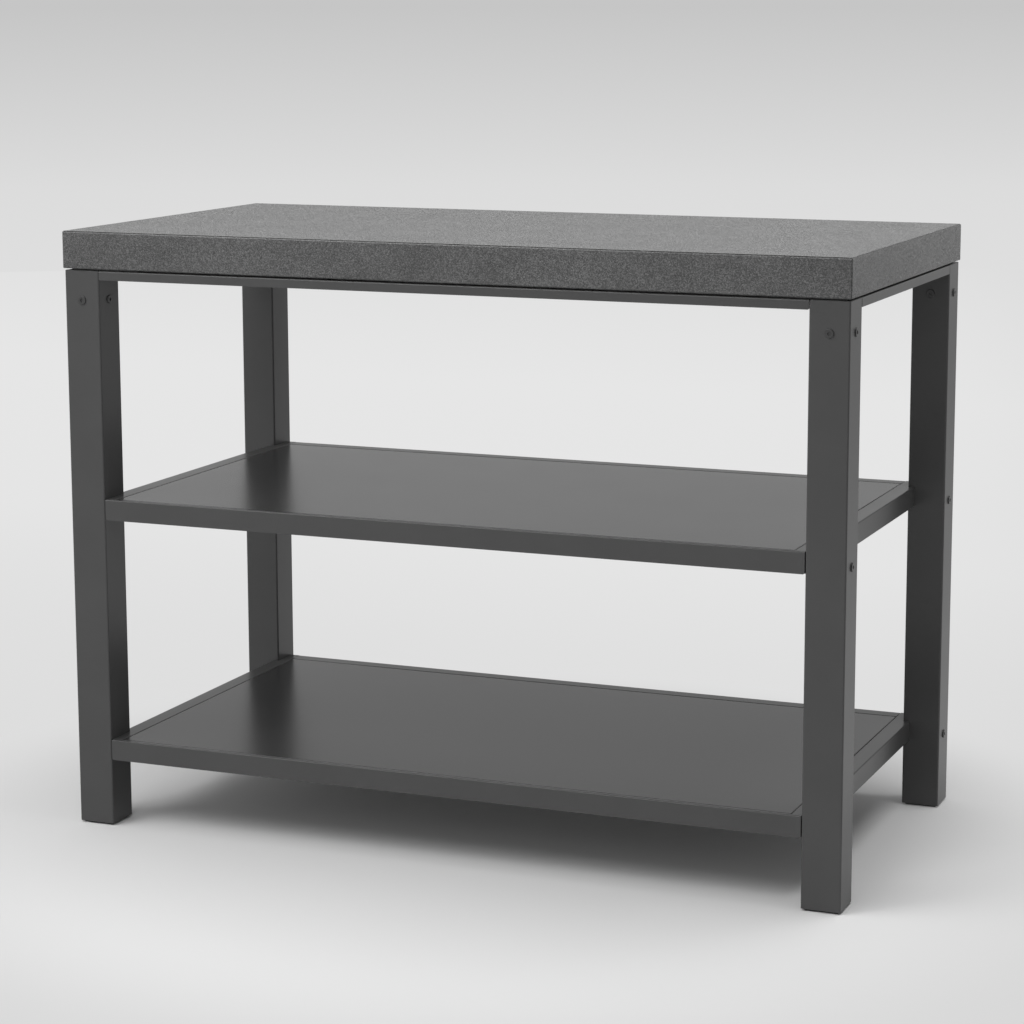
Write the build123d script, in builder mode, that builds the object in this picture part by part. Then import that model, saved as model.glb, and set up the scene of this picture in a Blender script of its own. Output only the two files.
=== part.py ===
import os
from build123d import *

os.makedirs("parts", exist_ok=True)

# Outdoor kitchen storage table: a stone worktop on a square-tube frame with two shelves.
# Millimetres. The origin is on the floor under the middle, +X to the right, -Y is the front, +Z up.

# Overall size
table_length = 1200.0
table_depth = 610.0
table_height = 900.0

# Worktop: a thin stone plate with mitred edge strips around a core board
edge_height = 55.0
stone_thickness = 12.0
arris_bevel = 1.5
long_strip_step = 0.9
short_strip_step = 0.3
core_clearance = 0.3

# Legs: square tube, closed at the foot by a welded plate
leg_size = 57.0
leg_wall = 2.0
leg_corner_radius = 2.5
leg_top_bevel = 0.8
leg_end_plate = 3.0
worktop_overhang = 2.0

# Foot pads, each with a peg that pushes into the leg's end plate
foot_height = 3.0
foot_inset = 4.0
foot_bevel = 0.8
foot_peg_diameter = 10.0
foot_peg_length = 9.0

# Corner brackets: a plate under the worktop with a stub that fills the top of the leg
bracket_plate = 2.5
bracket_inset = 8.0
bracket_arm = 60.0
stub_length = 70.0
stub_wall = 2.0
stub_clearance = 0.3
stub_corner_radius = 1.5

# Top rails: folded angles between the legs
top_rail_height = 13.5
top_rail_width = 30.0
top_rail_sheet = 3.0
top_rail_bend = 2.5
top_rail_end_gap = 0.3
top_rail_corner = 2.0

# Packing pads between the top rails and the worktop
pad_length = 60.0
pad_width = 20.0
pad_spacing = 400.0

# Shelves: the height of each top face, and the sections of the rails around the panel
shelf_tops = {"middle": 502.0, "lower": 134.0}
shelf_rail_height = 31.0
shelf_rail_width = 26.0
shelf_rail_wall = 2.0
shelf_side_inset = 49.0
shelf_back_inset = 10.5
shelf_leg_gap = 0.3
shelf_edge_radius = 2.0
shelf_seam_radius = 0.8
shelf_rail_joint = 0.4
front_rail_thickness = 6.0
front_rail_end_gap = 1.0
front_rail_corner = 2.5
ledge_width = 14.0
ledge_thickness = 3.0

# Shelf panels: folded trays, turned upside down, with stiffeners under them
panel_sheet = 1.5
panel_flange = 12.0
panel_seam = 0.8
stiffener_spacing = 300.0
stiffener_width = 40.0
stiffener_channel = 20.0
stiffener_end_gap = 0.5

# Fasteners
screw_head_diameter = 12.5
screw_head_height = 1.9
screw_socket = 5.0
screw_socket_depth = 1.3
screw_diameter = 6.0
screw_grip = 3.0
leg_screw_drop = 44.0
shelf_bolt_drop = 22.0
nut_width = 10.0
nut_thickness = 5.0
worktop_screw_diameter = 5.0
worktop_screw_head = 9.0
worktop_screw_head_height = 3.0
worktop_screw_bite = 20.0
hole_clearance = 0.3

# Places worked out from the sizes
worktop_bottom = table_height - edge_height
leg_top = worktop_bottom - bracket_plate
leg_bore = leg_size - 2 * leg_wall
leg_x = table_length / 2 - worktop_overhang - leg_size / 2
leg_y = table_depth / 2 - worktop_overhang - leg_size / 2
leg_inner_x = leg_x - leg_size / 2
leg_inner_y = leg_y - leg_size / 2
leg_screw_height = leg_top - leg_screw_drop
frame_edge = worktop_overhang + leg_size
screw_hole = screw_diameter / 2 + hole_clearance
worktop_screw_hole = worktop_screw_diameter / 2 + hole_clearance

rail_inner_x = table_length / 2 - shelf_side_inset - shelf_rail_width
rail_leg_x = leg_inner_x - shelf_leg_gap
rail_end_width = rail_leg_x - rail_inner_x
rail_front_y = -table_depth / 2 + worktop_overhang + front_rail_thickness
rail_back_y = leg_y + leg_size / 2 - shelf_back_inset
panel_back_y = rail_back_y - shelf_rail_width

# Corners in turning order: each is a quarter turn on from the one before
corners = ["front_left", "front_right", "back_right", "back_left"]

# Each side as a plane with +X pointing inwards, +Y up and +Z along the side, and the side's length
sides = {
    "front": (Plane((0, -table_depth / 2, 0), x_dir=(0, 1, 0), z_dir=(1, 0, 0)), table_length),
    "back": (Plane((0, table_depth / 2, 0), x_dir=(0, -1, 0), z_dir=(-1, 0, 0)), table_length),
    "left": (Plane((-table_length / 2, 0, 0), x_dir=(1, 0, 0), z_dir=(0, -1, 0)), table_depth),
    "right": (Plane((table_length / 2, 0, 0), x_dir=(-1, 0, 0), z_dir=(0, 1, 0)), table_depth),
}


def corner_signs(corner):
    """The signs of a corner's place along X and Y."""
    sign_x = 1 if corner.endswith("right") else -1
    sign_y = 1 if corner.startswith("back") else -1
    return sign_x, sign_y


def hidden_bolt(shelf, sign_y):
    """The lower shelf's front bolts go in from inside, so no head shows on the front legs there."""
    return shelf == "lower" and sign_y < 0


def plan_plane(side, height):
    """A level plane at a side's outer edge: +X along the side, +Y inwards."""
    plane = sides[side][0]
    return Plane(plane.origin + Vector(0, 0, height), x_dir=plane.z_dir, z_dir=(0, 0, 1))


def screw_places(side):
    """Where the worktop screws cross a side's top rail, in that side's plan plane."""
    along = sides[side][1] / 2 - frame_edge - bracket_arm / 2
    inwards = worktop_overhang + top_rail_width / 2
    return [(-along, inwards), (along, inwards)]


def strip_outline(side):
    """An edge strip in its plan plane. The long strips have bevelled ends, the short ones sharp ends."""
    half = sides[side][1] / 2
    if side in ("front", "back"):
        tip = half - short_strip_step
        mitre_start = tip + arris_bevel
        half_outline = [(tip - arris_bevel, 0), (tip, arris_bevel)]
    else:
        mitre_start = half - arris_bevel
        half_outline = [(mitre_start, 0)]
    half_outline.append((mitre_start - stone_thickness, stone_thickness))
    return half_outline + [(-along, inwards) for along, inwards in reversed(half_outline)]


# Worktop plate, with its edges mitred under the top face
with BuildPart() as worktop_plate:
    with BuildSketch(Plane.XY.offset(table_height - stone_thickness)):
        plate_margin = stone_thickness + arris_bevel
        Rectangle(table_length - 2 * plate_margin, table_depth - 2 * plate_margin)
    extrude(amount=stone_thickness, taper=-45)
worktop_plate.part.label = "worktop_plate"
export_step(worktop_plate.part, "parts/worktop_plate.step")

# Worktop edge strips, mitred to the plate and to each other, a step below the plate's face
for side, (plane, side_length) in sides.items():
    strip_step = long_strip_step if side in ("front", "back") else short_strip_step
    strip_top = table_height - strip_step
    with BuildPart() as edge_strip:
        with BuildSketch(plane):
            with BuildLine():
                Polyline(
                    (arris_bevel, worktop_bottom),
                    (stone_thickness, worktop_bottom),
                    (stone_thickness, strip_top + arris_bevel - stone_thickness),
                    (arris_bevel, strip_top),
                    (0, strip_top - arris_bevel),
                    (0, worktop_bottom + arris_bevel),
                    close=True,
                )
            make_face()
        extrude(amount=side_length / 2, both=True)
        with BuildSketch(plan_plane(side, worktop_bottom)):
            with BuildLine():
                Polyline(*strip_outline(side), close=True)
            make_face()
        extrude(amount=edge_height, mode=Mode.INTERSECT)
    edge_strip.part.label = f"worktop_edge_{side}"
    export_step(edge_strip.part, f"parts/worktop_edge_{side}.step")

# Worktop core board, drilled from below for the worktop screws
with BuildPart() as worktop_core:
    with BuildSketch(Plane.XY.offset(worktop_bottom)):
        core_margin = stone_thickness + core_clearance
        Rectangle(table_length - 2 * core_margin, table_depth - 2 * core_margin)
    extrude(amount=edge_height - stone_thickness)
    for side in sides:
        with BuildSketch(plan_plane(side, worktop_bottom)):
            with Locations(*screw_places(side)):
                Circle(worktop_screw_hole)
        extrude(amount=worktop_screw_bite + hole_clearance, mode=Mode.SUBTRACT)
worktop_core.part.label = "worktop_core"
export_step(worktop_core.part, "parts/worktop_core.step")

# Legs
for corner in corners:
    sign_x, sign_y = corner_signs(corner)
    leg_plane = Plane((sign_x * leg_x, sign_y * leg_y, foot_height))
    leg_length = leg_top - foot_height
    with BuildPart() as leg:
        with BuildSketch(leg_plane):
            RectangleRounded(leg_size, leg_size, leg_corner_radius)
        extrude(amount=leg_length)
        chamfer(leg.faces().sort_by(Axis.Z)[-1].edges(), leg_top_bevel)
        with BuildSketch(leg_plane.offset(leg_end_plate)):
            Rectangle(leg_bore, leg_bore)
        extrude(amount=leg_length - leg_end_plate, mode=Mode.SUBTRACT)
        with BuildSketch(leg_plane):
            Circle(foot_peg_diameter / 2 + hole_clearance)
        extrude(amount=leg_end_plate, mode=Mode.SUBTRACT)
        # screw holes through all four walls near the top; bolt holes at each shelf, across the leg or
        # through its inner wall alone
        screw_level = leg_plane.offset(leg_screw_height - foot_height).origin
        for direction in [(1, 0, 0), (0, 1, 0)]:
            with Locations(Plane(screw_level, z_dir=direction)):
                Hole(screw_hole)
        for shelf, shelf_top in shelf_tops.items():
            bolt_level = leg_plane.offset(shelf_top - shelf_bolt_drop - foot_height).origin
            with BuildSketch(Plane(bolt_level, z_dir=(-sign_x, 0, 0))):
                Circle(screw_hole)
            extrude(amount=leg_size / 2, both=not hidden_bolt(shelf, sign_y), mode=Mode.SUBTRACT)
    leg.part.label = f"leg_{corner}"
    export_step(leg.part, f"parts/leg_{corner}.step")

# Foot pads
for corner in corners:
    sign_x, sign_y = corner_signs(corner)
    foot_plane = Plane((sign_x * leg_x, sign_y * leg_y, 0))
    with BuildPart() as foot:
        with BuildSketch(foot_plane):
            foot_width = leg_size - 2 * foot_inset
            RectangleRounded(foot_width, foot_width, leg_corner_radius)
        extrude(amount=foot_height)
        chamfer(foot.faces().sort_by(Axis.Z)[0].edges(), foot_bevel)
        with BuildSketch(foot_plane.offset(foot_height)):
            Circle(foot_peg_diameter / 2)
        extrude(amount=foot_peg_length)
        chamfer(foot.faces().sort_by(Axis.Z)[-1].edges(), foot_bevel)
    foot.part.label = f"foot_{corner}"
    export_step(foot.part, f"parts/foot_{corner}.step")

# Corner brackets
for corner in corners:
    sign_x, sign_y = corner_signs(corner)
    corner_origin = (sign_x * leg_x, sign_y * leg_y, leg_top)
    corner_plane = Plane(corner_origin).rotated((0, 0, 90 * corners.index(corner)))
    stub_size = leg_bore - 2 * stub_clearance
    plate_start = bracket_inset - leg_size / 2
    arm_width = top_rail_width - bracket_inset
    arm_middle = leg_size / 2 + bracket_arm / 2
    arm_line = top_rail_width / 2 - leg_size / 2
    with BuildPart() as bracket:
        with BuildSketch(corner_plane):
            with Locations((plate_start, plate_start)):
                corner_align = (Align.MIN, Align.MIN)
                Rectangle(leg_size - bracket_inset, leg_size - bracket_inset, align=corner_align)
                Rectangle(leg_size - bracket_inset + bracket_arm, arm_width, align=corner_align)
                Rectangle(arm_width, leg_size - bracket_inset + bracket_arm, align=corner_align)
            with Locations((arm_middle, arm_line), (arm_line, arm_middle)):
                Circle(worktop_screw_hole, mode=Mode.SUBTRACT)
        extrude(amount=bracket_plate)
        with BuildSketch(corner_plane):
            RectangleRounded(stub_size, stub_size, stub_corner_radius)
            Rectangle(stub_size - 2 * stub_wall, stub_size - 2 * stub_wall, mode=Mode.SUBTRACT)
        extrude(amount=-stub_length)
        for direction in [(1, 0, 0), (0, 1, 0)]:
            with Locations(Plane(corner_plane.offset(-leg_screw_drop).origin, z_dir=direction)):
                Hole(screw_hole)
    bracket.part.label = f"corner_bracket_{corner}"
    export_step(bracket.part, f"parts/corner_bracket_{corner}.step")

# Top rails: the narrow flange shows under the worktop, the wide one carries it
for side, (plane, side_length) in sides.items():
    rail_length = side_length - 2 * (frame_edge + top_rail_end_gap)
    with BuildPart() as top_rail:
        with BuildSketch(plane) as angle_section:
            with Locations((worktop_overhang, leg_top)):
                Rectangle(top_rail_sheet, top_rail_height, align=(Align.MIN, Align.MAX))
                Rectangle(top_rail_width, top_rail_sheet, align=(Align.MIN, Align.MAX))
            outer_corner = angle_section.vertices().group_by(Axis.X)[0].sort_by(Axis.Y)[-1]
            fillet(outer_corner, top_rail_bend)
        extrude(amount=rail_length / 2, both=True)
        inwards = Axis.Y if side in ("front", "back") else Axis.X
        fillet(top_rail.edges().filter_by(inwards).group_by(Axis.Z)[0], top_rail_corner)
        with BuildSketch(plan_plane(side, leg_top)):
            with Locations(*screw_places(side)):
                Circle(worktop_screw_hole)
        extrude(amount=-top_rail_sheet, mode=Mode.SUBTRACT)
    top_rail.part.label = f"top_rail_{side}"
    export_step(top_rail.part, f"parts/top_rail_{side}.step")

# Packing pads on the top rails
with BuildPart() as worktop_pads:
    for side, (plane, side_length) in sides.items():
        pad_places = [-pad_spacing / 2, pad_spacing / 2] if side in ("front", "back") else [0]
        with BuildSketch(plan_plane(side, leg_top)):
            with Locations(*[(place, worktop_overhang + top_rail_width / 2) for place in pad_places]):
                Rectangle(pad_length, pad_width)
        extrude(amount=bracket_plate)
worktop_pads.part.label = "worktop_pads"
export_step(worktop_pads.part, "parts/worktop_pads.step")

# Shelves
for shelf, shelf_top in shelf_tops.items():
    rail_bottom = shelf_top - shelf_rail_height
    ledge_top = shelf_top - panel_flange
    panel_half = rail_inner_x - panel_seam
    ledge_half = rail_inner_x - ledge_width - shelf_rail_joint

    # Front rail: a flat bar between the legs, with a ledge behind it
    with BuildPart() as front_rail:
        front_plane = sides["front"][0]
        with BuildSketch(front_plane):
            with Locations((worktop_overhang, shelf_top)):
                Rectangle(front_rail_thickness, shelf_rail_height, align=(Align.MIN, Align.MAX))
        extrude(amount=leg_inner_x - front_rail_end_gap, both=True)
        top_edges = front_rail.edges().filter_by(Axis.X).group_by(Axis.Z)[-1].sort_by(Axis.Y)
        fillet(top_edges[0], shelf_edge_radius)
        top_edges = front_rail.edges().filter_by(Axis.X).group_by(Axis.Z)[-1].sort_by(Axis.Y)
        fillet(top_edges[-1], shelf_seam_radius)
        fillet(front_rail.edges().filter_by(Axis.Y).group_by(Axis.Z)[0], front_rail_corner)
        with BuildSketch(front_plane):
            with Locations((worktop_overhang + front_rail_thickness, ledge_top)):
                Rectangle(ledge_width, ledge_thickness, align=(Align.MIN, Align.MAX))
        extrude(amount=ledge_half, both=True)
    front_rail.part.label = f"{shelf}_shelf_front_rail"
    export_step(front_rail.part, f"parts/{shelf}_shelf_front_rail.step")

    # Back rail: a tube with a ledge in front of it
    with BuildPart() as back_rail:
        with BuildSketch(Plane.YZ):
            with Locations((rail_back_y - shelf_rail_width / 2, shelf_top - shelf_rail_height / 2)):
                RectangleRounded(shelf_rail_width, shelf_rail_height, shelf_edge_radius)
                Rectangle(
                    shelf_rail_width - 2 * shelf_rail_wall,
                    shelf_rail_height - 2 * shelf_rail_wall,
                    mode=Mode.SUBTRACT,
                )
        extrude(amount=rail_inner_x - shelf_rail_joint, both=True)
        with BuildSketch(Plane.YZ):
            with Locations((panel_back_y, ledge_top)):
                Rectangle(ledge_width, ledge_thickness, align=(Align.MAX, Align.MAX))
        extrude(amount=ledge_half, both=True)
    back_rail.part.label = f"{shelf}_shelf_back_rail"
    export_step(back_rail.part, f"parts/{shelf}_shelf_back_rail.step")

    # Side rails: tubes that run past the legs' inner faces, wider where they show between the legs
    for side, sign_x in {"left": -1, "right": 1}.items():
        rail_run = rail_back_y - rail_front_y
        rail_middle_y = (rail_back_y + rail_front_y) / 2
        between_legs = 2 * (leg_inner_y - shelf_leg_gap)
        wide_line = sign_x * (rail_inner_x + shelf_rail_width / 2)
        end_line = sign_x * (rail_inner_x + rail_end_width / 2)
        with BuildPart() as side_rail:
            with BuildSketch(Plane.XY.offset(rail_bottom)):
                with Locations((wide_line, 0)):
                    Rectangle(shelf_rail_width, between_legs)
                with Locations((end_line, rail_middle_y)):
                    Rectangle(rail_end_width, rail_run)
            extrude(amount=shelf_rail_height)
            long_edges = side_rail.edges().filter_by(Axis.Y).sort_by(Axis.X)
            outer_edges = long_edges[-2:] if sign_x > 0 else long_edges[:2]
            fillet(outer_edges, shelf_edge_radius)
            inner_edges = side_rail.edges().filter_by(Axis.Y).group_by(Axis.Z)[-1].sort_by(Axis.X)
            fillet(inner_edges[0] if sign_x > 0 else inner_edges[-1], shelf_seam_radius)
            with BuildSketch(Plane.XY.offset(rail_bottom + shelf_rail_wall)):
                with Locations((wide_line, 0)):
                    Rectangle(shelf_rail_width - 2 * shelf_rail_wall, between_legs - 2 * shelf_rail_wall)
                # the back end is closed, the front end is open behind the front rail
                with Locations((end_line, rail_middle_y - shelf_rail_wall / 2)):
                    Rectangle(rail_end_width - 2 * shelf_rail_wall, rail_run - shelf_rail_wall)
            extrude(amount=shelf_rail_height - 2 * shelf_rail_wall, mode=Mode.SUBTRACT)
            with BuildSketch(Plane.XY.offset(ledge_top)):
                ledge_line = sign_x * (rail_inner_x - ledge_width / 2)
                with Locations((ledge_line, (rail_front_y + panel_back_y) / 2)):
                    Rectangle(ledge_width, panel_back_y - rail_front_y)
            extrude(amount=-ledge_thickness)
            for sign_y in (-1, 1):
                bolt_place = (sign_x * rail_leg_x, sign_y * leg_y, shelf_top - shelf_bolt_drop)
                with BuildSketch(Plane(bolt_place, z_dir=(sign_x, 0, 0))):
                    Circle(screw_hole)
                bolt_reach = rail_end_width if hidden_bolt(shelf, sign_y) else shelf_rail_wall
                extrude(amount=-bolt_reach, mode=Mode.SUBTRACT)
        side_rail.part.label = f"{shelf}_shelf_{side}_rail"
        export_step(side_rail.part, f"parts/{shelf}_shelf_{side}_rail.step")

    # Panel: a tray of folded sheet, open underneath, with its flanges on the ledges
    panel_front_y = rail_front_y + panel_seam
    panel_depth = panel_back_y - panel_seam - panel_front_y
    panel_middle_y = panel_front_y + panel_depth / 2
    with BuildPart() as panel:
        with BuildSketch(Plane((0, panel_middle_y, ledge_top))):
            Rectangle(2 * panel_half, panel_depth)
        extrude(amount=panel_flange)
        fillet(panel.edges().filter_by(Axis.Z), panel_sheet)
        fillet(panel.faces().sort_by(Axis.Z)[-1].edges(), panel_sheet)
        with BuildSketch(Plane((0, panel_middle_y, ledge_top))):
            Rectangle(2 * (panel_half - panel_sheet), panel_depth - 2 * panel_sheet)
        extrude(amount=panel_flange - panel_sheet, mode=Mode.SUBTRACT)
    panel.part.label = f"{shelf}_shelf_panel"
    export_step(panel.part, f"parts/{shelf}_shelf_panel.step")

    # Stiffeners: hat sections under the panel, from flange to flange
    stiffener_height = panel_flange - panel_sheet
    stiffener_run = panel_depth - 2 * (panel_sheet + stiffener_end_gap)
    for place, step in {"left": -1, "middle": 0, "right": 1}.items():
        stiffener_origin = (step * stiffener_spacing, panel_middle_y, shelf_top - panel_sheet)
        with BuildPart() as stiffener:
            with BuildSketch(Plane(stiffener_origin, x_dir=(1, 0, 0), z_dir=(0, -1, 0))):
                hang = (Align.CENTER, Align.MAX)
                Rectangle(stiffener_width, panel_sheet, align=hang)
                Rectangle(stiffener_channel, stiffener_height, align=hang)
                channel_bore = stiffener_channel - 2 * panel_sheet
                Rectangle(channel_bore, stiffener_height - panel_sheet, align=hang, mode=Mode.SUBTRACT)
            extrude(amount=stiffener_run / 2, both=True)
        stiffener.part.label = f"{shelf}_shelf_stiffener_{place}"
        export_step(stiffener.part, f"parts/{shelf}_shelf_stiffener_{place}.step")

# Places of the socket screws: one on each face of each leg, and a bolt with its nut at each leg and shelf
leg_screw_planes = []
outer_bolt_planes = []
hidden_bolt_planes = []
shelf_nut_planes = []
for corner in corners:
    sign_x, sign_y = corner_signs(corner)
    for face_x, face_y in [(1, 0), (-1, 0), (0, 1), (0, -1)]:
        face_centre = (
            sign_x * leg_x + face_x * leg_size / 2,
            sign_y * leg_y + face_y * leg_size / 2,
            leg_screw_height,
        )
        leg_screw_planes.append(Plane(face_centre, z_dir=(face_x, face_y, 0)))
    for shelf, shelf_top in shelf_tops.items():
        bolt_z = shelf_top - shelf_bolt_drop
        if hidden_bolt(shelf, sign_y):
            rail_face = (sign_x * rail_inner_x, sign_y * leg_y, bolt_z)
            hidden_bolt_planes.append(Plane(rail_face, z_dir=(-sign_x, 0, 0)))
            nut_face = (sign_x * (leg_inner_x + leg_wall), sign_y * leg_y, bolt_z)
            shelf_nut_planes.append(Plane(nut_face, x_dir=(0, 0, 1), z_dir=(sign_x, 0, 0)))
        else:
            leg_face = (sign_x * (leg_x + leg_size / 2), sign_y * leg_y, bolt_z)
            outer_bolt_planes.append(Plane(leg_face, z_dir=(sign_x, 0, 0)))
            nut_face = (sign_x * (rail_leg_x - shelf_rail_wall), sign_y * leg_y, bolt_z)
            shelf_nut_planes.append(Plane(nut_face, x_dir=(0, 0, 1), z_dir=(-sign_x, 0, 0)))


def socket_screws(planes, shank_length):
    """Low-headed socket screws, with each head's seat on its plane."""
    with BuildSketch(*planes) as heads:
        Circle(screw_head_diameter / 2)
    extrude(heads.sketch, amount=screw_head_height)
    with BuildSketch(*[plane.offset(screw_head_height) for plane in planes]) as sockets:
        RegularPolygon(screw_socket / 2, 6, major_radius=False)
    extrude(sockets.sketch, amount=-screw_socket_depth, mode=Mode.SUBTRACT)
    with BuildSketch(*planes) as shanks:
        Circle(screw_diameter / 2)
    extrude(shanks.sketch, amount=-shank_length)


# Leg screws, into the bracket stubs
with BuildPart() as leg_screws:
    socket_screws(leg_screw_planes, leg_wall + stub_clearance + stub_wall + screw_grip)
leg_screws.part.label = "leg_screws"
export_step(leg_screws.part, "parts/leg_screws.step")

# Shelf bolts: through the legs into the side rails, or from the side rails into the legs
with BuildPart() as shelf_bolts:
    nut_reach = shelf_leg_gap + nut_thickness + screw_grip
    socket_screws(outer_bolt_planes, leg_size + shelf_rail_wall + nut_reach)
    socket_screws(hidden_bolt_planes, rail_end_width + leg_wall + nut_reach)
shelf_bolts.part.label = "shelf_bolts"
export_step(shelf_bolts.part, "parts/shelf_bolts.step")

# Shelf nuts, welded inside the side rails or the legs
with BuildPart() as shelf_nuts:
    with BuildSketch(*shelf_nut_planes):
        RegularPolygon(nut_width / 2, 6, major_radius=False)
        Circle(screw_hole, mode=Mode.SUBTRACT)
    extrude(amount=nut_thickness)
shelf_nuts.part.label = "shelf_nuts"
export_step(shelf_nuts.part, "parts/shelf_nuts.step")

# Worktop screws, up through the top rails and bracket arms into the core board
with BuildPart() as worktop_screws:
    for side in sides:
        with BuildSketch(plan_plane(side, leg_top - top_rail_sheet)):
            with Locations(*screw_places(side)):
                Circle(worktop_screw_head / 2)
        extrude(amount=-worktop_screw_head_height)
        with BuildSketch(plan_plane(side, leg_top - top_rail_sheet)):
            with Locations(*screw_places(side)):
                Circle(worktop_screw_diameter / 2)
        extrude(amount=top_rail_sheet + bracket_plate + worktop_screw_bite)
worktop_screws.part.label = "worktop_screws"
export_step(worktop_screws.part, "parts/worktop_screws.step")
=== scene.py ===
import math
import bpy
from mathutils import Euler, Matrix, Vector


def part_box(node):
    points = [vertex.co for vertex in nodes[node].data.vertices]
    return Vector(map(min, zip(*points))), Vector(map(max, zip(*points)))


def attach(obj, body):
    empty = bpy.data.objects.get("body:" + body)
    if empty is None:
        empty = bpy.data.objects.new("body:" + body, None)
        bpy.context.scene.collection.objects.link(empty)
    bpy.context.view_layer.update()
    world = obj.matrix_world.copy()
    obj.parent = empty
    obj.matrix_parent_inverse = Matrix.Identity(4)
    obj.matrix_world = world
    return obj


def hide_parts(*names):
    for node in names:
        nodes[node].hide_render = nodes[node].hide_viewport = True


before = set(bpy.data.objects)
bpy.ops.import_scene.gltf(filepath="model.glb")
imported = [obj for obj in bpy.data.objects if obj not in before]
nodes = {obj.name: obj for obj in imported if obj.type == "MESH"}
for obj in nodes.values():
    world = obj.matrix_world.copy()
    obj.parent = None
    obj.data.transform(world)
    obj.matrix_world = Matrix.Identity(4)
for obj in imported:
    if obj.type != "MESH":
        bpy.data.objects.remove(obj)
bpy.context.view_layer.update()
print("frame: nodes", len(nodes))


# Small helpers

def hexColour(text):
    # sRGB hex to linear light, with full alpha
    levels = [int(text[place:place + 2], 16) / 255 for place in (1, 3, 5)]
    linear = [v / 12.92 if v <= 0.04045 else ((v + 0.055) / 1.055) ** 2.4 for v in levels]
    return (*linear, 1.0)


def metres(millimetres):
    return millimetres / 1000


def perMetre(millimetres):
    # texture scale for a feature of that real size
    return 1000 / millimetres


def addNode(tree, kind, inputs=None, **settings):
    node = tree.nodes.new(kind)
    for name, value in settings.items():
        setattr(node, name, value)
    for socket, value in (inputs or {}).items():
        if isinstance(value, bpy.types.NodeSocket):
            tree.links.new(value, node.inputs[socket])
        else:
            node.inputs[socket].default_value = value
    return node


def setRamp(node, stops):
    ramp = node.color_ramp
    while len(ramp.elements) < len(stops):
        ramp.elements.new(0.5)  # moved to its own place below
    for element, (place, colour) in zip(ramp.elements, stops):
        element.position = place
        element.color = hexColour(colour)
    return node.outputs["Color"]


def newMaterial(name):
    material = bpy.data.materials.new(name)
    material.use_nodes = True
    tree = material.node_tree
    tree.nodes.clear()
    surface = addNode(tree, "ShaderNodeBsdfPrincipled")
    addNode(tree, "ShaderNodeOutputMaterial", {"Surface": surface.outputs["BSDF"]})
    where = addNode(tree, "ShaderNodeTexCoord").outputs["Object"]
    return material, tree, surface, where


# Materials

# most of a noise lies within this band, so a pattern spreads its tones over it
noiseBand = (0.3, 0.7)

# Honed granite: a close salt-and-pepper grain, dull on its faces, with a soft sheen at a low angle;
# the real grains are under a millimetre, and are drawn larger so that they show across the room.
# Each grain takes the polish in its own way, and shallow waves run over small clumps of them
graniteSettings = {
    "darkGrain": "#2d2d2d", "midGrain": "#464646", "paleGrain": "#6b6b6b",
    "grain": 1.2, "clump": 2.6, "cloud": 90, "clumpShare": 0.3, "cloudShare": 0.5, "spread": 0.6,
    "ior": 1.55, "roughness": (0.16, 0.56), "waveHeight": 0.00012,
}


def honedGranite(s):
    material, tree, surface, where = newMaterial("honedGranite")
    grains = addNode(tree, "ShaderNodeTexVoronoi", {"Vector": where, "Scale": perMetre(s["grain"])})
    grainLevel = addNode(tree, "ShaderNodeSeparateColor", {"Color": grains.outputs["Color"]})
    clumps = addNode(tree, "ShaderNodeTexNoise",
                     {"Vector": where, "Scale": perMetre(s["clump"]), "Detail": 1.0})
    clouds = addNode(tree, "ShaderNodeTexNoise",
                     {"Vector": where, "Scale": perMetre(s["cloud"]), "Detail": 3.0})
    mixed = addNode(tree, "ShaderNodeMath", {
        0: clumps.outputs["Fac"], 1: s["clumpShare"], 2: grainLevel.outputs["Red"]},
        operation="MULTIPLY_ADD")
    shaded = addNode(tree, "ShaderNodeMath", {
        0: clouds.outputs["Fac"], 1: s["cloudShare"], 2: mixed.outputs["Value"]},
        operation="MULTIPLY_ADD")
    middle = (1 + s["clumpShare"] + s["cloudShare"]) / 2  # mean of the sum of the three
    level = addNode(tree, "ShaderNodeMapRange", {
        "Value": shaded.outputs["Value"],
        "From Min": middle - s["spread"], "From Max": middle + s["spread"]})
    ramp = addNode(tree, "ShaderNodeValToRGB", {"Fac": level.outputs["Result"]})
    colour = setRamp(ramp, [(0.0, s["darkGrain"]), (0.5, s["midGrain"]), (1.0, s["paleGrain"])])
    tree.links.new(colour, surface.inputs["Base Color"])
    polish = addNode(tree, "ShaderNodeMapRange", {
        "Value": grainLevel.outputs["Green"], "To Min": s["roughness"][0], "To Max": s["roughness"][1]})
    tree.links.new(polish.outputs["Result"], surface.inputs["Roughness"])
    surface.inputs["IOR"].default_value = s["ior"]
    bump = addNode(tree, "ShaderNodeBump",
                   {"Height": clumps.outputs["Fac"], "Distance": s["waveHeight"], "Strength": 1.0})
    tree.links.new(bump.outputs["Normal"], surface.inputs["Normal"])
    return material


# Polyester powder coat on steel: an even dark grey with a satin sheen and a faint orange peel
coatSettings = {
    "framePowderCoat": {
        "colours": ("#434343", "#474747"), "roughness": (0.29, 0.31), "gloss": 0.33,
        "peel": 2.2, "peelHeight": 0.00002},
    "shelfPowderCoat": {
        "colours": ("#2f2f2f", "#323232"), "roughness": (0.26, 0.27), "gloss": 0.5,
        "peel": 2.6, "peelHeight": 0.000012},
    "screwPowderCoat": {
        "colours": ("#343434", "#3c3c3c"), "roughness": (0.28, 0.36), "gloss": 0.5,
        "peel": 1.4, "peelHeight": 0.00001},
}
# soft clouds with a fine grit over them, and the band that the sum of the two keeps to
coatMottle = {"cloud": 70, "grit": 0.9, "gritShare": 0.5, "band": (0.45, 1.05)}


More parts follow.
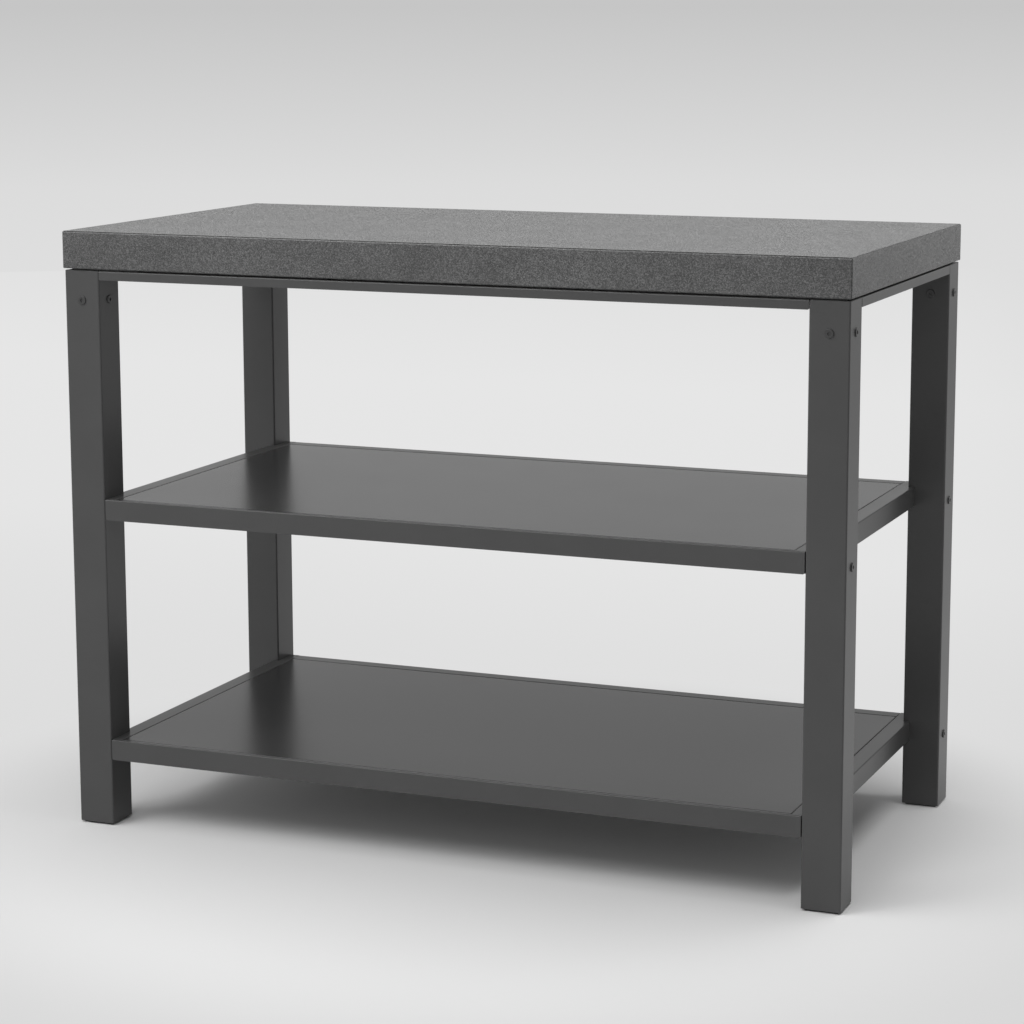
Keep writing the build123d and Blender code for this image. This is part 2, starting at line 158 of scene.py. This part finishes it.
def powderCoat(name, s):
    material, tree, surface, where = newMaterial(name)
    clouds = addNode(tree, "ShaderNodeTexNoise",
                     {"Vector": where, "Scale": perMetre(coatMottle["cloud"]), "Detail": 4.0})
    grit = addNode(tree, "ShaderNodeTexNoise",
                   {"Vector": where, "Scale": perMetre(coatMottle["grit"]), "Detail": 1.0})
    mottle = addNode(tree, "ShaderNodeMath", {
        0: grit.outputs["Fac"], 1: coatMottle["gritShare"], 2: clouds.outputs["Fac"]},
        operation="MULTIPLY_ADD")
    level = addNode(tree, "ShaderNodeMapRange", {
        "Value": mottle.outputs["Value"],
        "From Min": coatMottle["band"][0], "From Max": coatMottle["band"][1]})
    ramp = addNode(tree, "ShaderNodeValToRGB", {"Fac": level.outputs["Result"]})
    colour = setRamp(ramp, [(0.0, s["colours"][0]), (1.0, s["colours"][1])])
    tree.links.new(colour, surface.inputs["Base Color"])
    sheen = addNode(tree, "ShaderNodeMapRange", {
        "Value": clouds.outputs["Fac"], "From Min": noiseBand[0], "From Max": noiseBand[1],
        "To Min": s["roughness"][0], "To Max": s["roughness"][1]})
    tree.links.new(sheen.outputs["Result"], surface.inputs["Roughness"])
    surface.inputs["Specular IOR Level"].default_value = s["gloss"]
    peel = addNode(tree, "ShaderNodeTexNoise",
                   {"Vector": where, "Scale": perMetre(s["peel"]), "Detail": 1.5})
    bump = addNode(tree, "ShaderNodeBump",
                   {"Height": peel.outputs["Fac"], "Distance": s["peelHeight"], "Strength": 1.0})
    tree.links.new(bump.outputs["Normal"], surface.inputs["Normal"])
    return material


# Moulded polypropylene feet and rubber pads: near black, dull, with a fine spark-eroded grain
mouldedSettings = {
    "mouldedPolypropylene": {"colours": ("#101010", "#1b1b1b"), "roughness": (0.48, 0.62), "grain": 0.8},
    "packingRubber": {"colours": ("#141414", "#202020"), "roughness": (0.72, 0.86), "grain": 1.2},
}
mouldedBump = {"height": 0.00003, "strength": 0.8}


def mouldedBlack(name, s):
    material, tree, surface, where = newMaterial(name)
    grain = addNode(tree, "ShaderNodeTexNoise",
                    {"Vector": where, "Scale": perMetre(s["grain"]), "Detail": 3.0})
    ramp = addNode(tree, "ShaderNodeValToRGB", {"Fac": grain.outputs["Fac"]})
    colour = setRamp(ramp, [(noiseBand[0], s["colours"][0]), (noiseBand[1], s["colours"][1])])
    tree.links.new(colour, surface.inputs["Base Color"])
    dullness = addNode(tree, "ShaderNodeMapRange", {
        "Value": grain.outputs["Fac"], "From Min": noiseBand[0], "From Max": noiseBand[1],
        "To Min": s["roughness"][0], "To Max": s["roughness"][1]})
    tree.links.new(dullness.outputs["Result"], surface.inputs["Roughness"])
    bump = addNode(tree, "ShaderNodeBump", {
        "Height": grain.outputs["Fac"],
        "Distance": mouldedBump["height"], "Strength": mouldedBump["strength"]})
    tree.links.new(bump.outputs["Normal"], surface.inputs["Normal"])
    return material


# Zinc-plated steel: pale metal with a soft blotchy passivation
zincSettings = {"colours": ("#8f9396", "#b3b6b8"), "roughness": (0.30, 0.48), "blotch": 3.0}


def zincPlatedSteel(s):
    material, tree, surface, where = newMaterial("zincPlatedSteel")
    blotch = addNode(tree, "ShaderNodeTexNoise",
                     {"Vector": where, "Scale": perMetre(s["blotch"]), "Detail": 3.0})
    ramp = addNode(tree, "ShaderNodeValToRGB", {"Fac": blotch.outputs["Fac"]})
    colour = setRamp(ramp, [(noiseBand[0], s["colours"][0]), (noiseBand[1], s["colours"][1])])
    tree.links.new(colour, surface.inputs["Base Color"])
    surface.inputs["Metallic"].default_value = 1.0
    polish = addNode(tree, "ShaderNodeMapRange", {
        "Value": blotch.outputs["Fac"], "From Min": noiseBand[0], "From Max": noiseBand[1],
        "To Min": s["roughness"][0], "To Max": s["roughness"][1]})
    tree.links.new(polish.outputs["Result"], surface.inputs["Roughness"])
    return material


# Moisture-proof fibreboard, sealed black: pressed fibres, a dull dark felted face
boardSettings = {
    "colours": ("#262523", "#363431"), "fibre": (9.0, 0.9), "tangle": 1.2,
    "roughness": 0.82, "feltHeight": 0.0001,
}


def pressedFibreboard(s):
    material, tree, surface, where = newMaterial("pressedFibreboard")
    stretched = addNode(tree, "ShaderNodeMapping", {
        "Vector": where,
        "Scale": (perMetre(s["fibre"][0]), perMetre(s["fibre"][1]), perMetre(s["fibre"][1]))})
    fibres = addNode(tree, "ShaderNodeTexNoise", {
        "Vector": stretched.outputs["Vector"], "Scale": 1.0, "Detail": 4.0, "Distortion": s["tangle"]})
    ramp = addNode(tree, "ShaderNodeValToRGB", {"Fac": fibres.outputs["Fac"]})
    colour = setRamp(ramp, [(noiseBand[0], s["colours"][0]), (noiseBand[1], s["colours"][1])])
    tree.links.new(colour, surface.inputs["Base Color"])
    surface.inputs["Roughness"].default_value = s["roughness"]
    bump = addNode(tree, "ShaderNodeBump",
                   {"Height": fibres.outputs["Fac"], "Distance": s["feltHeight"]})
    tree.links.new(bump.outputs["Normal"], surface.inputs["Normal"])
    return material


granite = honedGranite(graniteSettings)
coats = {name: powderCoat(name, s) for name, s in coatSettings.items()}
moulded = {name: mouldedBlack(name, s) for name, s in mouldedSettings.items()}
zinc = zincPlatedSteel(zincSettings)
fibreboard = pressedFibreboard(boardSettings)

# each finish with the words in the names of the nodes that wear it; the first match holds
finishes = [
    (granite, ("worktop_plate", "worktop_edge")),
    (fibreboard, ("worktop_core",)),
    (moulded["packingRubber"], ("worktop_pads",)),
    (zinc, ("worktop_screws", "shelf_nuts")),
    (coats["screwPowderCoat"], ("leg_screws", "shelf_bolts")),
    (moulded["mouldedPolypropylene"], ("foot",)),
    (coats["shelfPowderCoat"], ("shelf_panel", "shelf_stiffener")),
    (coats["framePowderCoat"], ("leg", "corner_bracket", "top_rail", "_rail")),
]
for name, node in nodes.items():
    finish = next(material for material, words in finishes if any(word in name for word in words))
    for materialSlot in node.material_slots:
        materialSlot.material = finish
print("materials: dressed", len(nodes), "nodes")


# Socket screws: a low head with a chamfered rim and a hexagon socket, one tree for every row

# millimetres: head and shank by diameter and length, socket by width across the flats and depth
screwSettings = {
    "legScrews": {"node": "leg_screws", "slot": "screw_heads", "finish": coats["screwPowderCoat"],
                  "head": (12.5, 1.9), "rim": 0.5, "socket": (5.0, 1.3), "shank": (6.0, 7.3), "seed": 3},
    "shelfBolts": {"node": "shelf_bolts", "slot": "screw_heads", "finish": coats["screwPowderCoat"],
                   "head": (12.5, 1.9), "rim": 0.5, "socket": (5.0, 1.3), "shank": (6.0, 67.3), "seed": 5},
    "insideBolts": {"node": "shelf_bolts", "slot": "screw_heads", "finish": coats["screwPowderCoat"],
                    "head": (12.5, 1.9), "rim": 0.5, "socket": (5.0, 1.3), "shank": (6.0, 26.0), "seed": 6,
                    "railJoint": 0.4},
    "worktopScrews": {"node": "worktop_screws", "slot": "zinc_fixings", "finish": zinc,
                      "head": (9.0, 3.0), "rim": 0.7, "socket": (4.0, 1.8), "shank": (5.0, 25.5), "seed": 8},
}
screwSides = {"head": 48, "shank": 24, "socket": 6}


def screwTree():
    tree = bpy.data.node_groups.new("socketScrews", "GeometryNodeTree")
    tree.interface.new_socket("Geometry", in_out="OUTPUT", socket_type="NodeSocketGeometry")
    tree.interface.new_socket("Geometry", in_out="INPUT", socket_type="NodeSocketGeometry")
    sizes = ("headRadius", "headHeight", "rim", "socketRadius", "socketDepth", "shankRadius",
             "shankLength")
    for size in sizes:
        tree.interface.new_socket(size, in_out="INPUT", socket_type="NodeSocketFloat")
    tree.interface.new_socket("seed", in_out="INPUT", socket_type="NodeSocketInt")
    tree.interface.new_socket("finish", in_out="INPUT", socket_type="NodeSocketMaterial")
    given = addNode(tree, "NodeGroupInput").outputs

    def sums(operation, a, b):
        return addNode(tree, "ShaderNodeMath", {0: a, 1: b}, operation=operation).outputs["Value"]

    def raised(mesh, height):
        up = addNode(tree, "ShaderNodeCombineXYZ", {"Z": height})
        return addNode(tree, "GeometryNodeTransform",
                       {"Geometry": mesh, "Translation": up.outputs["Vector"]}).outputs["Geometry"]

    wallHeight = sums("SUBTRACT", given["headHeight"], given["rim"])
    topRadius = sums("SUBTRACT", given["headRadius"], given["rim"])
    wall = addNode(tree, "GeometryNodeMeshCylinder", {
        "Vertices": screwSides["head"], "Radius": given["headRadius"], "Depth": wallHeight},
        fill_type="NGON")
    rim = addNode(tree, "GeometryNodeMeshCone", {
        "Vertices": screwSides["head"], "Radius Bottom": given["headRadius"], "Radius Top": topRadius,
        "Depth": given["rim"]}, fill_type="NGON")
    rimRaised = raised(rim.outputs["Mesh"], wallHeight)
    wallRaised = raised(wall.outputs["Mesh"], sums("MULTIPLY", wallHeight, 0.5))
    shank = addNode(tree, "GeometryNodeMeshCylinder", {
        "Vertices": screwSides["shank"], "Radius": given["shankRadius"],
        "Depth": given["shankLength"]}, fill_type="NGON")
    shankLowered = raised(shank.outputs["Mesh"], sums("MULTIPLY", given["shankLength"], -0.5))
    solid = addNode(tree, "GeometryNodeMeshBoolean", operation="UNION", solver="EXACT")
    for mesh in (wallRaised, rimRaised, shankLowered):
        tree.links.new(mesh, solid.inputs["Mesh 2"])
    hexagon = addNode(tree, "GeometryNodeMeshCylinder", {
        "Vertices": screwSides["socket"], "Radius": given["socketRadius"],
        "Depth": sums("MULTIPLY", given["socketDepth"], 2.0)})  # its lower half cuts into the head
    hexagonRaised = raised(hexagon.outputs["Mesh"], given["headHeight"])
    drilled = addNode(tree, "GeometryNodeMeshBoolean", {
        "Mesh 1": solid.outputs["Mesh"], "Mesh 2": hexagonRaised},
        operation="DIFFERENCE", solver="EXACT")
    facing = addNode(tree, "GeometryNodeInputNamedAttribute",
                     {"Name": "outwards"}, data_type="FLOAT_VECTOR")
    aligned = addNode(tree, "FunctionNodeAlignRotationToVector",
                      {"Vector": facing.outputs["Attribute"]}, axis="Z")
    # each screw stops at its own turn, within the sixth of a turn after which a hexagon looks the same
    turn = addNode(tree, "FunctionNodeRandomValue", {
        "Min": (0.0, 0.0, 0.0), "Max": (0.0, 0.0, math.pi / 3), "Seed": given["seed"]},
        data_type="FLOAT_VECTOR")
    spun = addNode(tree, "FunctionNodeRotateRotation", {
        "Rotation": aligned.outputs["Rotation"], "Rotate By": turn.outputs["Value"]},
        rotation_space="LOCAL")
    placed = addNode(tree, "GeometryNodeInstanceOnPoints", {
        "Points": given["Geometry"], "Instance": drilled.outputs["Mesh"],
        "Rotation": spun.outputs["Rotation"]})
    real = addNode(tree, "GeometryNodeRealizeInstances", {"Geometry": placed.outputs["Instances"]})
    painted = addNode(tree, "GeometryNodeSetMaterial", {
        "Geometry": real.outputs["Geometry"], "Material": given["finish"]})
    addNode(tree, "NodeGroupOutput", {"Geometry": painted.outputs["Geometry"]})
    return tree


def cornerBoxes():
    # each corner's leg and bracket boxes, with the signs that point outwards
    for name in nodes:
        if name.startswith("corner_bracket_"):
            corner = name.removeprefix("corner_bracket_")
            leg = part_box("leg_" + corner)
            outwards = [math.copysign(1, side) for side in (leg[0] + leg[1])]
            yield corner, leg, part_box(name), outwards


def legScrewSeats():
    low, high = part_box("leg_screws")
    for corner, (legLow, legHigh), bracket, outwards in cornerBoxes():
        middle = (legLow + legHigh) / 2
        middle.z = (low.z + high.z) / 2
        reach = (legHigh.x - legLow.x) / 2
        for way in ((1, 0, 0), (-1, 0, 0), (0, 1, 0), (0, -1, 0)):
            yield middle + reach * Vector(way), way


def boltPlaces():
    # each leg's middle and outward sign at both shelves;
    # the lower shelf's front bolts go in from inside
    low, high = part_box("shelf_bolts")
    headRadius = metres(screwSettings["shelfBolts"]["head"][0]) / 2
    for corner, (legLow, legHigh), bracket, outwards in cornerBoxes():
        for shelf, height in (("lower", low.z + headRadius), ("middle", high.z - headRadius)):
            middle = (legLow + legHigh) / 2
            middle.z = height
            inside = shelf == "lower" and corner.startswith("front")
            yield middle, (legHigh.x - legLow.x) / 2, outwards[0], inside


def shelfBoltSeats():
    for middle, reach, outward, inside in boltPlaces():
        if not inside:
            yield middle + Vector((outward * reach, 0, 0)), (outward, 0, 0)


def insideBoltSeats():
    # on the inner faces of the lower side rails, which the back rail ends just short of
    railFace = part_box("lower_shelf_back_rail")[1].x + metres(screwSettings["insideBolts"]["railJoint"])
    for middle, reach, outward, inside in boltPlaces():
        if inside:
            yield Vector((outward * railFace, middle.y, middle.z)), (-outward, 0, 0)


def worktopScrewSeats():
    # under the middle of each bracket arm, on the middle line of the rail that crosses it
    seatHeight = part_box("worktop_screws")[0].z + metres(screwSettings["worktopScrews"]["head"][1])
    for corner, leg, bracket, outwards in cornerBoxes():
        depthSide, widthSide = corner.split("_")
        longRail = sum(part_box("top_rail_" + depthSide), Vector()) / 2
        shortRail = sum(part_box("top_rail_" + widthSide), Vector()) / 2
        inner = [0 if sign > 0 else 1 for sign in outwards]
        armX = (leg[inner[0]].x + bracket[inner[0]].x) / 2
        armY = (leg[inner[1]].y + bracket[inner[1]].y) / 2
        yield Vector((armX, longRail.y, seatHeight)), (0, 0, -1)
        yield Vector((shortRail.x, armY, seatHeight)), (0, 0, -1)


def makeScrews(name, s, seats, tree):
    seats = list(seats)
    points = bpy.data.meshes.new(name + "Seats")
    points.from_pydata([seat for seat, way in seats], [], [])
    ways = points.attributes.new("outwards", "FLOAT_VECTOR", "POINT")
    ways.data.foreach_set("vector", [part for seat, way in seats for part in way])
    holder = bpy.data.objects.new(name + "Seats", points)
    bpy.context.scene.collection.objects.link(holder)
    values = {
        "headRadius": metres(s["head"][0]) / 2, "headHeight": metres(s["head"][1]),
        "rim": metres(s["rim"]),
        # from across the flats to the corners of the hexagon
        "socketRadius": metres(s["socket"][0]) / 2 / math.cos(math.pi / screwSides["socket"]),
        "socketDepth": metres(s["socket"][1]),
        "shankRadius": metres(s["shank"][0]) / 2, "shankLength": metres(s["shank"][1]),
        "seed": s["seed"], "finish": s["finish"],
    }
    modifier = holder.modifiers.new("screws", "NODES")
    modifier.node_group = tree
    for item in tree.interface.items_tree:
        if item.in_out == "INPUT" and item.name in values:
            modifier[item.identifier] = values[item.name]
    evaluated = holder.evaluated_get(bpy.context.evaluated_depsgraph_get())
    mesh = bpy.data.meshes.new_from_object(evaluated)
    holder.modifiers.remove(modifier)
    bpy.data.objects.remove(holder)
    piece = bpy.data.objects.new(name, mesh)
    bpy.context.scene.collection.objects.link(piece)
    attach(piece, "root")
    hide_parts(s["node"])
    print("screws:", name, len(seats), "placed,", len(mesh.polygons), "faces")


tree = screwTree()
screwSeats = {
    "legScrews": legScrewSeats, "shelfBolts": shelfBoltSeats, "insideBolts": insideBoltSeats,
    "worktopScrews": worktopScrewSeats,
}
for name, seats in screwSeats.items():
    makeScrews(name, screwSettings[name], seats(), tree)


# Stage: a pale floor that keeps the shadow and fades into the backdrop, and the studio light

# the paper fades from lit and shadowed near the table into a glow further out, with painted light
# in tones that go by depth, from in front of the table to far behind it
stageSettings = {
    "radius": 9.0, "sides": 96, "floor": "#dfdfdf",
    "fade": (0.6, 1.0), "fadeCentre": (0.0, -0.12, 0.0),
    "tones": {-1.0: "#dadada", 1.0: "#e0e0e0", 2.0: "#e5e5e5", 4.5: "#e6e6e6", 9.0: "#dfdfdf"},
}
# the backdrop's tones by height, from below the horizon to overhead
backdropSettings = {
    "tones": {-0.10: "#dfdfdf", -0.065: "#dcdcdc", 0.0: "#c5c5c5", 0.05: "#f2f2f2", 0.10: "#f4f4f4",
              0.16: "#d2d2d2", 0.26: "#b4b4b4", 0.60: "#bcbcbc"},
}
# the studio falls off into the dark towards the right, out of the picture: metres to the right on the
# floor, and the turn towards the right on the backdrop that is seen and on the light that comes from it
shadeSettings = {
    "floor": {"towards": (1.0, 0.2, 0.0), "turn": (0.3, 3.0), "level": 0.62},
    "backdrop": {"towards": (1.0, -0.9, 0.0), "turn": (0.15, 0.65), "level": 0.2},
    "light": {"towards": (1.0, 0.2, 0.0), "turn": (0.1, 0.9), "level": 0.36},
}
lightSettings = {
    "dome": {"walls": 0.95, "ceiling": 0.20, "heights": (0.30, 0.75)},
    "lamps": {
        "frontSoftbox": {
            "place": (-0.4, -2.4, 2.8), "aim": (0.0, 0.0, 0.6), "size": (2.4, 1.6), "power": 32},
        "leftSoftbox": {
            "place": (-1.8, -1.8, 2.8), "aim": (0.0, 0.0, 0.6), "size": (1.6, 1.6), "power": 34},
        "rightSoftbox": {
            "place": (1.2, 0.2, 3.0), "aim": (0.5, 0.0, 0.5), "size": (1.4, 1.4), "power": 37},
        "overheadSoftbox": {
            "place": (-0.9, -0.75, 2.9), "aim": (-0.3, -0.3, 0.8), "size": (2.0, 1.0), "power": 12},
    },
}


def seenRays(tree):
    # camera, glossy and transmission rays, which see the backdrop's own tone
    path = addNode(tree, "ShaderNodeLightPath").outputs
    both = addNode(tree, "ShaderNodeMath",
                   {0: path["Is Camera Ray"], 1: path["Is Glossy Ray"]}, operation="ADD")
    return addNode(tree, "ShaderNodeMath", {
        0: both.outputs["Value"], 1: path["Is Transmission Ray"]}, operation="ADD").outputs["Value"]


def sideShade(tree, where, s):
    side = addNode(tree, "ShaderNodeVectorMath", {0: where, 1: s["towards"]}, operation="DOT_PRODUCT")
    return addNode(tree, "ShaderNodeMapRange", {
        "Value": side.outputs["Value"], "From Min": s["turn"][0], "From Max": s["turn"][1],
        "To Min": 1.0, "To Max": s["level"]}, interpolation_type="SMOOTHSTEP").outputs["Result"]


def makeFloor(s):
    ring = [(s["radius"] * math.cos(a), s["radius"] * math.sin(a), 0.0)
            for a in (2 * math.pi * step / s["sides"] for step in range(s["sides"]))]
    mesh = bpy.data.meshes.new("studioFloor")
    mesh.from_pydata(ring, [], [list(range(s["sides"]))])
    floor = bpy.data.objects.new("studioFloor", mesh)
    bpy.context.scene.collection.objects.link(floor)
    material = bpy.data.materials.new("matteStudioPaperWithPaintedGlow")
    material.use_nodes = True
    tree = material.node_tree
    tree.nodes.clear()
    where = addNode(tree, "ShaderNodeTexCoord").outputs["Object"]
    distance = addNode(tree, "ShaderNodeVectorMath",
                       {0: where, 1: s["fadeCentre"]}, operation="DISTANCE")
    paper = addNode(tree, "ShaderNodeBsdfDiffuse", {"Color": hexColour(s["floor"])})
    depth = addNode(tree, "ShaderNodeSeparateXYZ", {"Vector": where}).outputs["Y"]
    near, far = min(s["tones"]), max(s["tones"])
    level = addNode(tree, "ShaderNodeMapRange", {"Value": depth, "From Min": near, "From Max": far})
    tone = addNode(tree, "ShaderNodeValToRGB", {"Fac": level.outputs["Result"]})
    stops = [((place - near) / (far - near), colour) for place, colour in s["tones"].items()]
    # painted light: the far floor glows in these painted tones, dimmed by painted shade towards the right
    glow = addNode(tree, "ShaderNodeEmission", {
        "Color": setRamp(tone, stops), "Strength": sideShade(tree, where, shadeSettings["floor"])})
    fade = addNode(tree, "ShaderNodeMapRange", {
        "Value": distance.outputs["Value"], "From Min": s["fade"][0], "From Max": s["fade"][1]},
        interpolation_type="SMOOTHSTEP")
    share = addNode(tree, "ShaderNodeMath",
                    {0: fade.outputs["Result"], 1: seenRays(tree)}, operation="MULTIPLY")
    mixed = addNode(tree, "ShaderNodeMixShader", {
        0: share.outputs["Value"], 1: paper.outputs["BSDF"], 2: glow.outputs["Emission"]})
    addNode(tree, "ShaderNodeOutputMaterial", {"Surface": mixed.outputs["Shader"]})
    mesh.materials.append(material)


def makeWorld(s, dome):
    world = bpy.data.worlds.new("studioBackdrop")
    bpy.context.scene.world = world
    world.use_nodes = True
    tree = world.node_tree
    tree.nodes.clear()
    direction = addNode(tree, "ShaderNodeTexCoord").outputs["Generated"]
    height = addNode(tree, "ShaderNodeSeparateXYZ", {"Vector": direction}).outputs["Z"]
    low, high = min(s["tones"]), max(s["tones"])
    level = addNode(tree, "ShaderNodeMapRange", {"Value": height, "From Min": low, "From Max": high})
    tone = addNode(tree, "ShaderNodeValToRGB", {"Fac": level.outputs["Result"]})
    stops = [((place - low) / (high - low), colour) for place, colour in s["tones"].items()]
    seen = addNode(tree, "ShaderNodeBackground", {
        "Color": setRamp(tone, stops),
        "Strength": sideShade(tree, direction, shadeSettings["backdrop"])})
    rise = addNode(tree, "ShaderNodeMapRange", {
        "Value": height, "From Min": dome["heights"][0], "From Max": dome["heights"][1],
        "To Min": dome["walls"], "To Max": dome["ceiling"]}, interpolation_type="SMOOTHSTEP")
    strength = addNode(tree, "ShaderNodeMath", {
        0: rise.outputs["Result"], 1: sideShade(tree, direction, shadeSettings["light"])},
        operation="MULTIPLY")
    light = addNode(tree, "ShaderNodeBackground", {
        "Color": hexColour("#ffffff"), "Strength": strength.outputs["Value"]})
    mixed = addNode(tree, "ShaderNodeMixShader", {
        0: seenRays(tree), 1: light.outputs["Background"], 2: seen.outputs["Background"]})
    addNode(tree, "ShaderNodeOutputWorld", {"Surface": mixed.outputs["Shader"]})


def makeLamp(name, s):
    lamp = bpy.data.lights.new(name, "AREA")
    lamp.shape = "RECTANGLE"
    lamp.size, lamp.size_y = s["size"]
    lamp.energy = s["power"]
    holder = bpy.data.objects.new(name, lamp)
    holder.location = s["place"]
    holder.rotation_euler = (Vector(s["aim"]) - Vector(s["place"])).to_track_quat("-Z", "Y").to_euler()
    holder.visible_camera = False
    bpy.context.scene.collection.objects.link(holder)


makeFloor(stageSettings)
makeWorld(backdropSettings, lightSettings["dome"])
for name, s in lightSettings["lamps"].items():
    makeLamp(name, s)
print("stage: floor, backdrop and", len(lightSettings["lamps"]), "lamps")


# Camera, at the photograph's viewing angle

cameraSettings = {
    "place": (1.5722, -3.8200, 1.2311), "azimuth": 21.678, "elevation": 9.444, "roll": -0.030,
    "lens": 97.30, "sensor": 36.0, "shift": (-0.0388, -0.0483),
}


def makeCamera(s):
    camera = bpy.data.cameras.new("studioCamera")
    camera.sensor_width = s["sensor"]
    camera.lens = s["lens"]
    camera.shift_x, camera.shift_y = s["shift"]
    holder = bpy.data.objects.new("studioCamera", camera)
    holder.location = s["place"]
    turn = Euler((math.radians(90 - s["elevation"]), 0.0, math.radians(s["azimuth"])), "XYZ").to_matrix()
    roll = Euler((0.0, 0.0, math.radians(s["roll"])), "XYZ").to_matrix()
    holder.rotation_euler = (turn @ roll).to_euler()
    bpy.context.scene.collection.objects.link(holder)
    bpy.context.scene.camera = holder


makeCamera(cameraSettings)
bpy.context.scene.view_settings.view_transform = "Standard"
print("camera: lens", cameraSettings["lens"])
